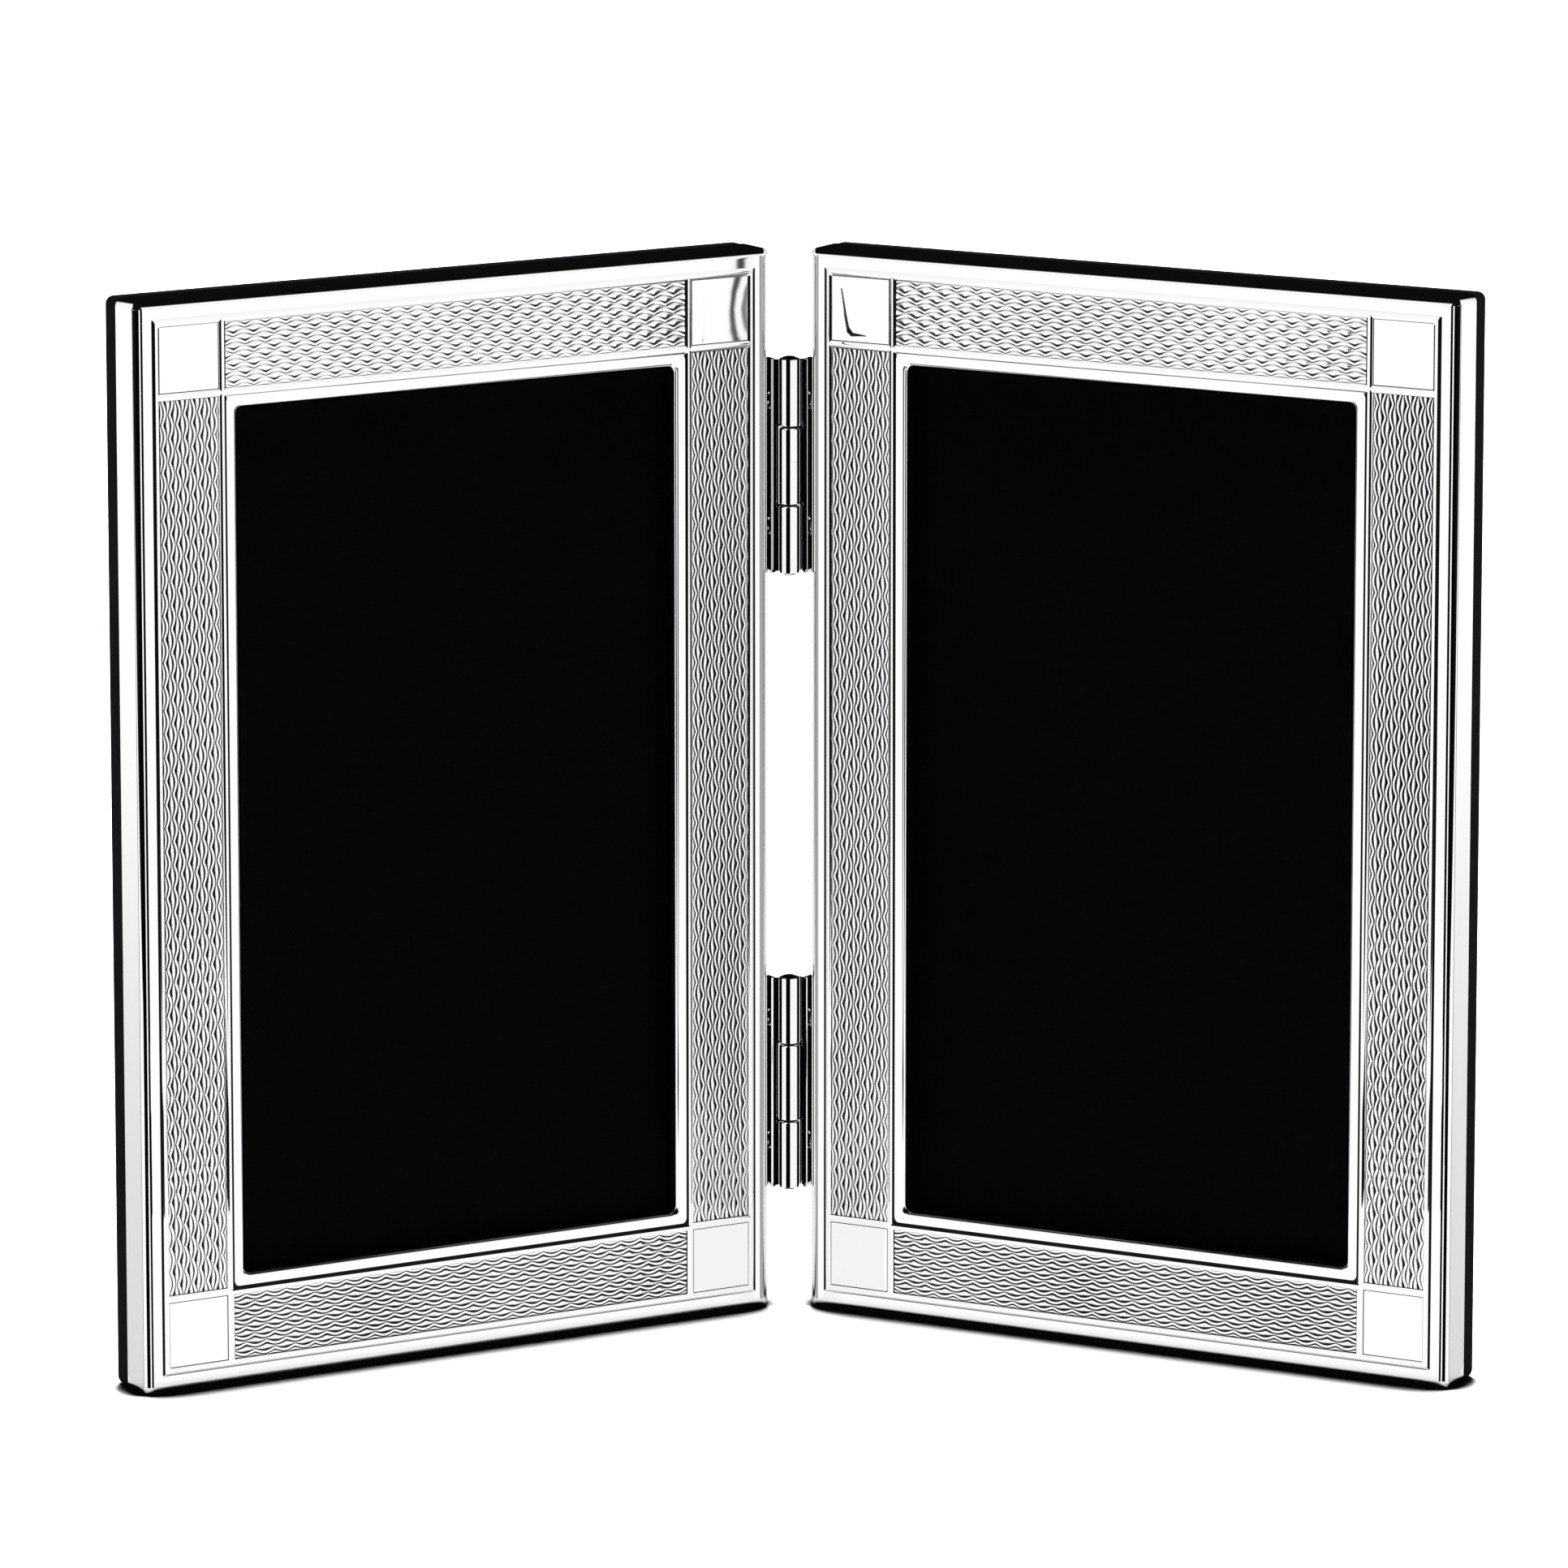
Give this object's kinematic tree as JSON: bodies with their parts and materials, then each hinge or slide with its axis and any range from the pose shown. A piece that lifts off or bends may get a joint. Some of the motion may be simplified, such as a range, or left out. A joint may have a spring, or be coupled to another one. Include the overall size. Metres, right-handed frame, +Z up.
{
  "type": "double photo frame",
  "caption": "Hinged double photo frame: two silver-faced leaves with engine-turned bands, glass and velvet-covered backs, standing open like a book.",
  "frame": {"origin": "on the supporting surface, under the middle of the bounding box of the open frame", "axes": "+X to the right across both leaves as the viewer sees them, +Y from the viewer to the back, +Z up along the hinge axis"},
  "size_m": [0.1892, 0.059, 0.1535],
  "materials": {
    "silver": "polished silver plate with an engine-turned band",
    "hinge_metal": "polished plated steel",
    "brass": "lacquered brass",
    "wood": "planed, unfinished",
    "glass": "clear float glass",
    "black_card": "smooth black paper card",
    "grey_board": "pressed grey paperboard",
    "velvet": "short-pile black velvet over board"
  },
  "bodies": {
    "left_leaf": {"left_facing": "silver", "left_core_frame": "wood", "left_glass": "glass", "left_photo_card": "black_card", "left_backing_card": "grey_board", "left_back_rim": "velvet", "left_back_panel": "velvet", "left_button_screw_top": "brass", "left_button_screw_bottom": "brass", "left_button_screw_inner": "brass", "left_button_screw_outer": "brass", "left_hinge_screw_1": "hinge_metal", "left_hinge_screw_2": "hinge_metal", "left_hinge_screw_3": "hinge_metal", "left_hinge_screw_4": "hinge_metal", "upper_hinge_left_plate": "hinge_metal", "lower_hinge_left_plate": "hinge_metal", "upper_hinge_pin": "hinge_metal", "lower_hinge_pin": "hinge_metal"},
    "right_leaf": {"right_facing": "silver", "right_core_frame": "wood", "right_glass": "glass", "right_photo_card": "black_card", "right_backing_card": "grey_board", "right_back_rim": "velvet", "right_back_panel": "velvet", "right_button_screw_top": "brass", "right_button_screw_bottom": "brass", "right_button_screw_inner": "brass", "right_button_screw_outer": "brass", "right_hinge_screw_1": "hinge_metal", "right_hinge_screw_2": "hinge_metal", "right_hinge_screw_3": "hinge_metal", "right_hinge_screw_4": "hinge_metal", "upper_hinge_right_plate": "hinge_metal", "lower_hinge_right_plate": "hinge_metal"},
    "left_button_top": {"left_turn_button_top": "brass"},
    "left_button_bottom": {"left_turn_button_bottom": "brass"},
    "left_button_inner": {"left_turn_button_inner": "brass"},
    "left_button_outer": {"left_turn_button_outer": "brass"},
    "right_button_top": {"right_turn_button_top": "brass"},
    "right_button_bottom": {"right_turn_button_bottom": "brass"},
    "right_button_inner": {"right_turn_button_inner": "brass"},
    "right_button_outer": {"right_turn_button_outer": "brass"}
  },
  "joints": [
    {"name": "fold", "type": "hinge", "parent": "left_leaf", "child": "right_leaf", "pos_m": [0, 0.02262, 0.07755], "axis": [0, 0, 1], "range_deg": [-119, 81]},
    {"name": "left_button_top_turn", "type": "hinge", "parent": "left_leaf", "child": "left_button_top", "pos_m": [-0.05172, 0.0048, 0.1474], "axis": [-0.5075, 0.8616, 0], "range_deg": [0, 90]},
    {"name": "left_button_bottom_turn", "type": "hinge", "parent": "left_leaf", "child": "left_button_bottom", "pos_m": [-0.05172, 0.0048, 0.0061], "axis": [-0.5075, 0.8616, 0], "range_deg": [0, 90]},
    {"name": "left_button_inner_turn", "type": "hinge", "parent": "left_leaf", "child": "left_button_inner", "pos_m": [-0.01316, 0.02752, 0.07675], "axis": [-0.5075, 0.8616, 0], "range_deg": [0, 90]},
    {"name": "left_button_outer_turn", "type": "hinge", "parent": "left_leaf", "child": "left_button_outer", "pos_m": [-0.09027, -0.01791, 0.07675], "axis": [-0.5075, 0.8616, 0], "range_deg": [0, 90]},
    {"name": "right_button_top_turn", "type": "hinge", "parent": "right_leaf", "child": "right_button_top", "pos_m": [0.05172, 0.0048, 0.1474], "axis": [0.5075, 0.8616, 0], "range_deg": [0, 90]},
    {"name": "right_button_bottom_turn", "type": "hinge", "parent": "right_leaf", "child": "right_button_bottom", "pos_m": [0.05172, 0.0048, 0.0061], "axis": [0.5075, 0.8616, 0], "range_deg": [0, 90]},
    {"name": "right_button_inner_turn", "type": "hinge", "parent": "right_leaf", "child": "right_button_inner", "pos_m": [0.01316, 0.02752, 0.07675], "axis": [0.5075, 0.8616, 0], "range_deg": [0, 90]},
    {"name": "right_button_outer_turn", "type": "hinge", "parent": "right_leaf", "child": "right_button_outer", "pos_m": [0.09027, -0.01791, 0.07675], "axis": [0.5075, 0.8616, 0], "range_deg": [0, 90]}
  ]
}
